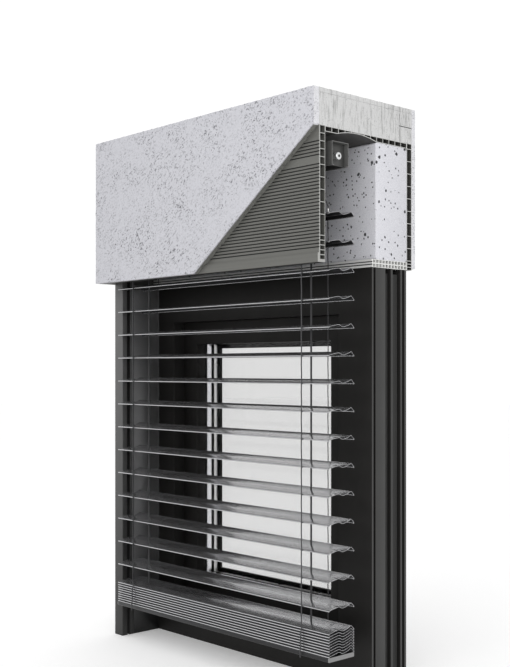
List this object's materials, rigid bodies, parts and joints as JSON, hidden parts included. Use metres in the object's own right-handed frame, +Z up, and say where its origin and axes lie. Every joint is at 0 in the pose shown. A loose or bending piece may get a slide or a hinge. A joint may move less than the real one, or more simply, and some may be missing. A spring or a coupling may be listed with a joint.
{
  "type": "exterior venetian blind",
  "caption": "Exterior venetian blind with tilting and rising slats on cord ladders, in a cut-away lintel box above a fixed window",
  "frame": {"origin": "middle of the base, on the floor plane that the window frame and the side rail stand on", "axes": "+X along the slats towards the cut end, +Y from the street side to the room side, +Z up"},
  "size_m": [0.908, 0.3734, 1.467],
  "materials": {
    "concrete": "rough",
    "render": "rough",
    "ribbed_panel": "matte",
    "hollow_panel": "matte",
    "floor_panel": "matte",
    "foam": "matte",
    "end_plastic": "matte",
    "head_rail_steel": "satin",
    "zinc_steel": "satin",
    "shaft_steel": "satin",
    "motor_case": "satin",
    "bearing_plastic": "matte",
    "ladder_cord": "woven",
    "lift_tape": "woven",
    "slat_coat": "satin metallic",
    "bottom_rail_coat": "satin",
    "cap_plastic": "matte",
    "guide_rail_coat": "satin",
    "liner_rubber": "matte",
    "lining_coat": "satin",
    "window_foil": "satin",
    "window_glass": "clear",
    "seal_rubber": "matte",
    "bead_plastic": "satin",
    "pin_metal": "satin"
  },
  "bodies": {
    "carrier": {"lintel": "concrete", "front_render": "render", "rear_render": "render", "front_panel": "ribbed_panel", "top_panel": "hollow_panel", "rear_panel": "hollow_panel", "rear_floor_panel": "floor_panel", "insulation_block": "foam", "end_plate": "end_plastic", "head_rail": "head_rail_steel", "rail_brackets": "zinc_steel", "bracket_screws": "zinc_steel", "drive_motor": "motor_case", "bearing_blocks": "bearing_plastic", "ladder_leads": "ladder_cord", "ladder_cords": "ladder_cord", "lift_tapes": "lift_tape", "guide_rail": "guide_rail_coat", "guide_rail_liner": "liner_rubber", "side_lining": "lining_coat", "window_frame": "window_foil", "sash_frame": "window_foil", "glass_panes": "window_glass", "glazing_seals": "seal_rubber", "glazing_bead": "bead_plastic"},
    "drive": {"drive_shaft": "shaft_steel", "tape_drums": "bearing_plastic"},
    "rings": {"tilt_rings": "bearing_plastic"},
    "pack": {"stacked_slats": "slat_coat", "bottom_rail": "bottom_rail_coat", "bottom_rail_caps": "cap_plastic"},
    "blade_01": {"slat_01": "slat_coat"},
    "pin_02": {"guide_pin_02": "pin_metal"},
    "blade_02": {"slat_02": "slat_coat"},
    "pin_03": {"guide_pin_03": "pin_metal"},
    "blade_03": {"slat_03": "slat_coat"},
    "pin_04": {"guide_pin_04": "pin_metal"},
    "blade_04": {"slat_04": "slat_coat"},
    "pin_05": {"guide_pin_05": "pin_metal"},
    "blade_05": {"slat_05": "slat_coat"},
    "pin_06": {"guide_pin_06": "pin_metal"},
    "blade_06": {"slat_06": "slat_coat"},
    "pin_07": {"guide_pin_07": "pin_metal"},
    "blade_07": {"slat_07": "slat_coat"},
    "pin_08": {"guide_pin_08": "pin_metal"},
    "blade_08": {"slat_08": "slat_coat"},
    "pin_09": {"guide_pin_09": "pin_metal"},
    "blade_09": {"slat_09": "slat_coat"},
    "pin_10": {"guide_pin_10": "pin_metal"},
    "blade_10": {"slat_10": "slat_coat"},
    "pin_11": {"guide_pin_11": "pin_metal"},
    "blade_11": {"slat_11": "slat_coat"},
    "pin_12": {"guide_pin_12": "pin_metal"},
    "blade_12": {"slat_12": "slat_coat"},
    "pin_13": {"guide_pin_13": "pin_metal"},
    "blade_13": {"slat_13": "slat_coat"},
    "pin_14": {"guide_pin_14": "pin_metal"},
    "blade_14": {"slat_14": "slat_coat"},
    "pin_15": {"guide_pin_15": "pin_metal"},
    "blade_15": {"slat_15": "slat_coat"}
  },
  "joints": [
    {"name": "lift", "type": "slide", "parent": "carrier", "child": "pack", "axis": [0, 0, 1], "range_m": [0, 0.625], "deforming": ["ladder_cords", "lift_tapes"]},
    {"name": "tilt", "type": "hinge", "parent": "carrier", "child": "blade_01", "pos_m": [0, -0.09495, 1.1736], "axis": [1, 0, 0], "range_deg": [0, 65], "deforming": ["ladder_leads"]},
    {"name": "drive_turn", "type": "hinge", "parent": "carrier", "child": "drive", "pos_m": [0, -0.09975, 1.312], "axis": [1, 0, 0], "range_deg": [0, 3980]},
    {"name": "ring_turn", "type": "hinge", "parent": "carrier", "child": "rings", "pos_m": [0, -0.09975, 1.312], "axis": [1, 0, 0], "range_deg": [0, 170]},
    {"name": "lift_02", "type": "slide", "parent": "carrier", "child": "pin_02", "axis": [0, 0, 1], "range_m": [0, 0.045]},
    {"name": "tilt_02", "type": "hinge", "parent": "pin_02", "child": "blade_02", "pos_m": [0, -0.09495, 1.1056], "axis": [1, 0, 0], "range_deg": [0, 65.5]},
    {"name": "lift_03", "type": "slide", "parent": "carrier", "child": "pin_03", "axis": [0, 0, 1], "range_m": [0, 0.089]},
    {"name": "tilt_03", "type": "hinge", "parent": "pin_03", "child": "blade_03", "pos_m": [0, -0.09495, 1.0376], "axis": [1, 0, 0], "range_deg": [0, 65.5]},
    {"name": "lift_04", "type": "slide", "parent": "carrier", "child": "pin_04", "axis": [0, 0, 1], "range_m": [0, 0.133]},
    {"name": "tilt_04", "type": "hinge", "parent": "pin_04", "child": "blade_04", "pos_m": [0, -0.09495, 0.9696], "axis": [1, 0, 0], "range_deg": [0, 65.5]},
    {"name": "lift_05", "type": "slide", "parent": "carrier", "child": "pin_05", "axis": [0, 0, 1], "range_m": [0, 0.177]},
    {"name": "tilt_05", "type": "hinge", "parent": "pin_05", "child": "blade_05", "pos_m": [0, -0.09495, 0.9016], "axis": [1, 0, 0], "range_deg": [0, 65.5]},
    {"name": "lift_06", "type": "slide", "parent": "carrier", "child": "pin_06", "axis": [0, 0, 1], "range_m": [0, 0.221]},
    {"name": "tilt_06", "type": "hinge", "parent": "pin_06", "child": "blade_06", "pos_m": [0, -0.09495, 0.8336], "axis": [1, 0, 0], "range_deg": [0, 65.5]},
    {"name": "lift_07", "type": "slide", "parent": "carrier", "child": "pin_07", "axis": [0, 0, 1], "range_m": [0, 0.265]},
    {"name": "tilt_07", "type": "hinge", "parent": "pin_07", "child": "blade_07", "pos_m": [0, -0.09495, 0.7656], "axis": [1, 0, 0], "range_deg": [0, 65.5]},
    {"name": "lift_08", "type": "slide", "parent": "carrier", "child": "pin_08", "axis": [0, 0, 1], "range_m": [0, 0.309]},
    {"name": "tilt_08", "type": "hinge", "parent": "pin_08", "child": "blade_08", "pos_m": [0, -0.09495, 0.6976], "axis": [1, 0, 0], "range_deg": [0, 65.5]},
    {"name": "lift_09", "type": "slide", "parent": "carrier", "child": "pin_09", "axis": [0, 0, 1], "range_m": [0, 0.353]},
    {"name": "tilt_09", "type": "hinge", "parent": "pin_09", "child": "blade_09", "pos_m": [0, -0.09495, 0.6296], "axis": [1, 0, 0], "range_deg": [0, 65.5]},
    {"name": "lift_10", "type": "slide", "parent": "carrier", "child": "pin_10", "axis": [0, 0, 1], "range_m": [0, 0.397]},
    {"name": "tilt_10", "type": "hinge", "parent": "pin_10", "child": "blade_10", "pos_m": [0, -0.09495, 0.5616], "axis": [1, 0, 0], "range_deg": [0, 65.5]},
    {"name": "lift_11", "type": "slide", "parent": "carrier", "child": "pin_11", "axis": [0, 0, 1], "range_m": [0, 0.441]},
    {"name": "tilt_11", "type": "hinge", "parent": "pin_11", "child": "blade_11", "pos_m": [0, -0.09495, 0.4936], "axis": [1, 0, 0], "range_deg": [0, 65.5]},
    {"name": "lift_12", "type": "slide", "parent": "carrier", "child": "pin_12", "axis": [0, 0, 1], "range_m": [0, 0.485]},
    {"name": "tilt_12", "type": "hinge", "parent": "pin_12", "child": "blade_12", "pos_m": [0, -0.09495, 0.4256], "axis": [1, 0, 0], "range_deg": [0, 65.5]},
    {"name": "lift_13", "type": "slide", "parent": "carrier", "child": "pin_13", "axis": [0, 0, 1], "range_m": [0, 0.529]},
    {"name": "tilt_13", "type": "hinge", "parent": "pin_13", "child": "blade_13", "pos_m": [0, -0.09495, 0.3576], "axis": [1, 0, 0], "range_deg": [0, 65.5]},
    {"name": "lift_14", "type": "slide", "parent": "carrier", "child": "pin_14", "axis": [0, 0, 1], "range_m": [0, 0.573]},
    {"name": "tilt_14", "type": "hinge", "parent": "pin_14", "child": "blade_14", "pos_m": [0, -0.09495, 0.2896], "axis": [1, 0, 0], "range_deg": [0, 65.5]},
    {"name": "lift_15", "type": "slide", "parent": "carrier", "child": "pin_15", "axis": [0, 0, 1], "range_m": [0, 0.617]},
    {"name": "tilt_15", "type": "hinge", "parent": "pin_15", "child": "blade_15", "pos_m": [0, -0.09495, 0.2216], "axis": [1, 0, 0], "range_deg": [0, 65.5]}
  ],
  "couplings": [
    {"joint": "drive_turn", "follows": "lift", "rad_per_m": 111.11},
    {"joint": "ring_turn", "follows": "tilt", "ratio": 2.6},
    {"joint": "lift_02", "follows": "lift", "ratio": 0.0704},
    {"joint": "tilt_02", "follows": "tilt", "ratio": 1},
    {"joint": "lift_03", "follows": "lift", "ratio": 0.1408},
    {"joint": "tilt_03", "follows": "tilt", "ratio": 1},
    {"joint": "lift_04", "follows": "lift", "ratio": 0.2112},
    {"joint": "tilt_04", "follows": "tilt", "ratio": 1},
    {"joint": "lift_05", "follows": "lift", "ratio": 0.2816},
    {"joint": "tilt_05", "follows": "tilt", "ratio": 1},
    {"joint": "lift_06", "follows": "lift", "ratio": 0.352},
    {"joint": "tilt_06", "follows": "tilt", "ratio": 1},
    {"joint": "lift_07", "follows": "lift", "ratio": 0.4224},
    {"joint": "tilt_07", "follows": "tilt", "ratio": 1},
    {"joint": "lift_08", "follows": "lift", "ratio": 0.4928},
    {"joint": "tilt_08", "follows": "tilt", "ratio": 1},
    {"joint": "lift_09", "follows": "lift", "ratio": 0.5632},
    {"joint": "tilt_09", "follows": "tilt", "ratio": 1},
    {"joint": "lift_10", "follows": "lift", "ratio": 0.6336},
    {"joint": "tilt_10", "follows": "tilt", "ratio": 1},
    {"joint": "lift_11", "follows": "lift", "ratio": 0.704},
    {"joint": "tilt_11", "follows": "tilt", "ratio": 1},
    {"joint": "lift_12", "follows": "lift", "ratio": 0.7744},
    {"joint": "tilt_12", "follows": "tilt", "ratio": 1},
    {"joint": "lift_13", "follows": "lift", "ratio": 0.8448},
    {"joint": "tilt_13", "follows": "tilt", "ratio": 1},
    {"joint": "lift_14", "follows": "lift", "ratio": 0.9152},
    {"joint": "tilt_14", "follows": "tilt", "ratio": 1},
    {"joint": "lift_15", "follows": "lift", "ratio": 0.9856},
    {"joint": "tilt_15", "follows": "tilt", "ratio": 1}
  ]
}
